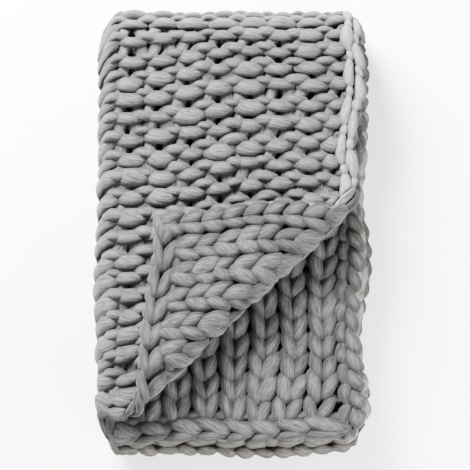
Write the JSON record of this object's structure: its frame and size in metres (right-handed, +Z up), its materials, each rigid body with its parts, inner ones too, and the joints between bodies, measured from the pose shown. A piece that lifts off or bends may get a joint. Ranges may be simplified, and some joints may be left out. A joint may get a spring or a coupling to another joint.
{
  "type": "throw blanket",
  "caption": "Very thick hand-knitted throw folded in four, one corner of the top layer turned over to show the other side of the knitting.",
  "frame": {"origin": "middle of the underside's box, on the surface that the throw rests on", "axes": "+X to the right of the picture, away from the side fold; +Y to the top of the picture, towards the end fold; +Z up, out of the stack"},
  "size_m": [0.4874, 0.7936, 0.1573],
  "materials": {
    "yarn": "matt loosely spun grey yarn"
  },
  "bodies": {
    "root": {"throw": "yarn"}
  },
  "joints": []
}
